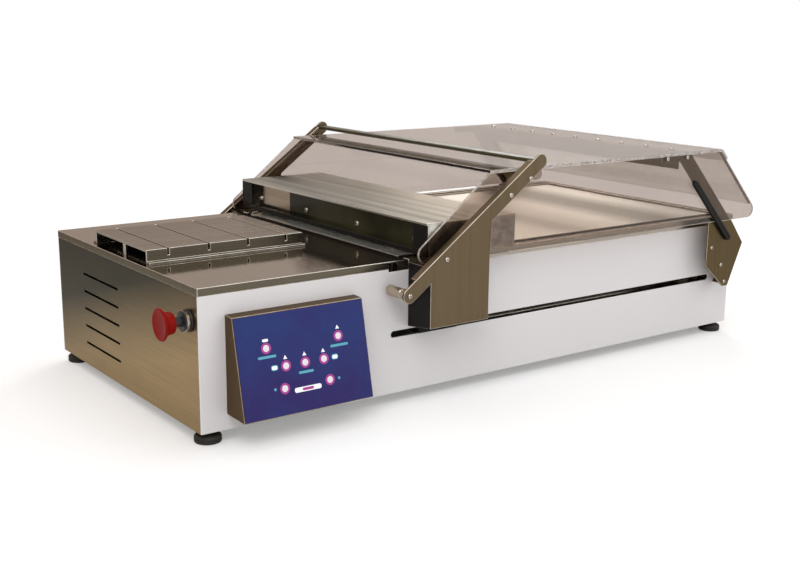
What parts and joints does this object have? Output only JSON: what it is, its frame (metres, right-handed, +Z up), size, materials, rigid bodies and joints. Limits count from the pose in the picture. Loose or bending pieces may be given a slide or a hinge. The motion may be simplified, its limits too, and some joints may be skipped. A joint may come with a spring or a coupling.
{
  "type": "reflow oven",
  "caption": "Flat-bed benchtop reflow oven: sheet-steel base, hot plate bed, belt-driven sliding bridge, clear fixed guard hood, tilted keypad console and stop button.",
  "frame": {"origin": "on the floor under the middle of the machine's whole length and depth", "axes": "+X along the bed away from the bridge's parking end, -Y to the operator's side, +Z up"},
  "size_m": [1.0135, 0.554, 0.3277],
  "materials": {
    "white_panel": "smooth satin white",
    "brushed_stainless": "fine brushed",
    "mirror_stainless": "polished near mirror",
    "bright_bed": "bright ground",
    "clear_acrylic": "lightly smoked, glossy",
    "black_anodised": "black anodised",
    "fastener_steel": "polished",
    "machined_aluminium": "machined",
    "black_rubber": "matt",
    "black_plastic": "satin",
    "red_plastic": "gloss",
    "blue_film": "satin film",
    "insulation": "fibrous board",
    "circuit_board": "solder mask"
  },
  "bodies": {
    "base": {"base_pan": "brushed_stainless", "front_panel": "white_panel", "back_panel": "white_panel", "left_panel": "brushed_stainless", "right_panel": "brushed_stainless", "deck_plate": "mirror_stainless", "finger_tray": "brushed_stainless", "tray_post": "brushed_stainless", "bed_frame": "brushed_stainless", "bed_bulkhead": "brushed_stainless", "bed_shelf": "brushed_stainless", "bed_tray": "brushed_stainless", "insulation_board": "insulation", "heater_rods": "fastener_steel", "hot_plate": "bright_bed", "rod_supports": "machined_aluminium", "guide_rods": "fastener_steel", "drive_motor": "black_plastic", "idler_bracket": "machined_aluminium", "drive_belt": "black_rubber", "power_supply": "brushed_stainless", "controller_board": "circuit_board", "fan_frame": "black_plastic", "power_inlet": "black_plastic", "console_housing": "brushed_stainless", "membrane_keypad": "blue_film", "estop_collar": "black_plastic", "foot_discs": "black_rubber", "foot_studs": "fastener_steel", "hood_bracket_front": "brushed_stainless", "hood_bracket_back": "brushed_stainless", "hood_arms": "brushed_stainless", "hood_cross_plate": "brushed_stainless", "hood_top_sheet": "clear_acrylic", "hood_end_sheet": "clear_acrylic", "hood_front_wall": "clear_acrylic", "hood_back_wall": "clear_acrylic", "hood_clamp_bars": "black_anodised", "hood_screws": "fastener_steel", "wall_screws": "fastener_steel", "bracket_screws": "fastener_steel"},
    "bridge": {"bridge_cross_bar": "black_anodised", "plate_hangers": "black_anodised", "bearing_blocks": "machined_aluminium", "belt_clamp": "machined_aluminium", "bridge_legs": "brushed_stainless", "side_plate_front": "brushed_stainless", "side_plate_back": "brushed_stainless", "arm_bumpers": "brushed_stainless", "top_bar": "black_anodised", "bridge_bolts": "fastener_steel", "beam_housing": "brushed_stainless", "beam_end_plates": "brushed_stainless", "beam_skirt": "black_anodised", "tool_rail": "black_anodised", "rail_bolts": "fastener_steel"},
    "drive_pulley": {"drive_pulley": "machined_aluminium"},
    "idler_pulley": {"idler_pulley": "machined_aluminium"},
    "fan_rotor": {"fan_rotor": "black_plastic"},
    "estop_button": {"estop_button": "red_plastic"}
  },
  "joints": [
    {"name": "bridge_slide", "type": "slide", "parent": "base", "child": "bridge", "axis": [1, 0, 0], "range_m": [-0.015, 0.35]},
    {"name": "drive_pulley_spin", "type": "hinge", "parent": "base", "child": "drive_pulley", "pos_m": [-0.1968, 0, 0.068], "axis": [0, 0, 1], "continuous": true},
    {"name": "idler_pulley_spin", "type": "hinge", "parent": "base", "child": "idler_pulley", "pos_m": [0.4512, 0, 0.068], "axis": [0, 0, 1], "continuous": true},
    {"name": "fan_spin", "type": "hinge", "parent": "base", "child": "fan_rotor", "pos_m": [-0.4508, 0.071, 0.099], "axis": [1, 0, 0], "continuous": true},
    {"name": "estop_push", "type": "slide", "parent": "base", "child": "estop_button", "axis": [1, 0, 0], "range_m": [0, 0.0045], "stiffness_N_per_m": 1500}
  ],
  "couplings": [
    {"joint": "drive_pulley_spin", "follows": "bridge_slide", "rad_per_m": -83.333},
    {"joint": "idler_pulley_spin", "follows": "bridge_slide", "rad_per_m": -83.333}
  ]
}
